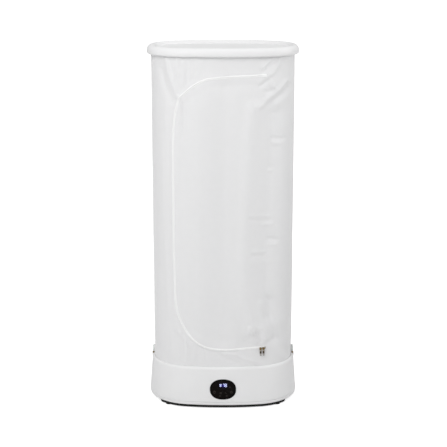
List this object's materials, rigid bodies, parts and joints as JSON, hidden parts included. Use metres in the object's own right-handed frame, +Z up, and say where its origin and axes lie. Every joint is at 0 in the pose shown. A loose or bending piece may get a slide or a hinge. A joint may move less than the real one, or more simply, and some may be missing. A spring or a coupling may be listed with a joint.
{
  "type": "drying cabinet",
  "caption": "Free-standing fabric drying cabinet: heated fan base with a touch panel, zipped stretch cover with a front door, hanging rail and dished lid.",
  "frame": {"origin": "on the floor, under the middle of the base", "axes": "+Z up, the front with the panel and the door faces -Y, +X to the viewer's right"},
  "size_m": [0.6048, 0.4238, 1.443],
  "materials": {
    "white_shell": "satin moulded white",
    "black_plastic": "fine matt",
    "rubber": "matt",
    "screw_steel": "zinc plated",
    "motor_metal": "drawn steel",
    "filter_foam": "pleated mesh",
    "ceramic_bar": "fired ceramic",
    "fin_aluminium": "folded fins",
    "panel_black": "high gloss",
    "display_light": "lit digits",
    "board_green": "solder mask",
    "pin_brass": "bare",
    "pole_steel": "white powder coat",
    "cover_cloth": "smooth coated cloth",
    "zip_white": "woven tape and coil",
    "elastic_white": "ribbed",
    "zip_metal": "dull antique",
    "grip_grey": "moulded",
    "latch_brass": "dark antique",
    "clear_plastic": "clear moulded"
  },
  "bodies": {
    "root": {"base_housing": "white_shell", "bottom_plate": "black_plastic", "bottom_trim": "white_shell", "control_board": "board_green", "cover_back": "cover_cloth", "cover_front": "cover_cloth", "cover_left": "cover_cloth", "cover_right": "cover_cloth", "cover_zip": "zip_white", "display_module": "display_light", "fan_motor": "motor_metal", "fan_shroud": "black_plastic", "hanging_rail": "pole_steel", "heater_elements": "ceramic_bar", "heater_fins": "fin_aluminium", "heater_frame": "black_plastic", "hem_elastic": "elastic_white", "housing_screws": "screw_steel", "inlet_pins": "pin_brass", "intake_filter": "filter_foam", "latch_lugs": "white_shell", "latch_pins": "latch_brass", "lower_pole_back_left": "pole_steel", "lower_pole_back_right": "pole_steel", "lower_pole_front_left": "pole_steel", "lower_pole_front_right": "pole_steel", "motor_bracket": "black_plastic", "outlet_grille": "white_shell", "panel_bezel": "panel_black", "panel_lens": "panel_black", "pole_couplers": "pole_steel", "pole_sockets": "white_shell", "power_board": "board_green", "power_inlet": "black_plastic", "rubber_feet": "rubber", "small_screws": "screw_steel", "thermal_cutout": "black_plastic", "top_ring": "white_shell", "upper_pole_back_left": "pole_steel", "upper_pole_back_right": "pole_steel", "upper_pole_front_left": "pole_steel", "upper_pole_front_right": "pole_steel", "zip_stops": "zip_metal"},
    "fan": {"motor_shaft": "screw_steel", "fan_impeller": "black_plastic", "impeller_nut": "screw_steel"},
    "lid": {"lid": "white_shell"},
    "door": {"door_flap": "cover_cloth", "door_zip": "zip_white"},
    "slider_left": {"zip_slider_left": "zip_metal"},
    "pull_left": {"zip_pull_left": "zip_metal", "pull_grip_left": "grip_grey"},
    "slider_right": {"zip_slider_right": "zip_metal"},
    "pull_right": {"zip_pull_right": "zip_metal", "pull_grip_right": "grip_grey"},
    "latch_left": {"latch_lever_left": "clear_plastic"},
    "latch_right": {"latch_lever_right": "clear_plastic"}
  },
  "joints": [
    {"name": "fan_spin", "type": "hinge", "parent": "root", "child": "fan", "pos_m": [0, 0, 0.03], "axis": [0, 0, 1], "continuous": true},
    {"name": "lid_lift", "type": "slide", "parent": "root", "child": "lid", "axis": [0, 0, 1], "range_m": [0, 0.06]},
    {"name": "door_swing", "type": "hinge", "parent": "root", "child": "door", "pos_m": [0.166, -0.17759, 0.8], "axis": [0, 0, 1], "range_deg": [0, 120]},
    {"name": "slider_left_slide", "type": "slide", "parent": "root", "child": "slider_left", "axis": [-0.9922, -0.1243, 0], "range_m": [0, 0.06]},
    {"name": "pull_left_swing", "type": "hinge", "parent": "slider_left", "child": "pull_left", "pos_m": [0.15102, -0.18939, 0.2486], "axis": [-0.9922, -0.1243, 0], "range_deg": [0, 150]},
    {"name": "slider_right_slide", "type": "slide", "parent": "root", "child": "slider_right", "axis": [-0.9922, -0.1243, 0], "range_m": [0, 0.0028]},
    {"name": "pull_right_swing", "type": "hinge", "parent": "slider_right", "child": "pull_right", "pos_m": [0.16262, -0.18794, 0.24918], "axis": [-0.9922, -0.1243, 0], "range_deg": [0, 150]},
    {"name": "latch_left_swing", "type": "hinge", "parent": "root", "child": "latch_left", "pos_m": [-0.2885, 0, 0.173], "axis": [0, -1, 0], "range_deg": [0, 75]},
    {"name": "latch_right_swing", "type": "hinge", "parent": "root", "child": "latch_right", "pos_m": [0.2885, 0, 0.173], "axis": [0, 1, 0], "range_deg": [0, 75]}
  ]
}
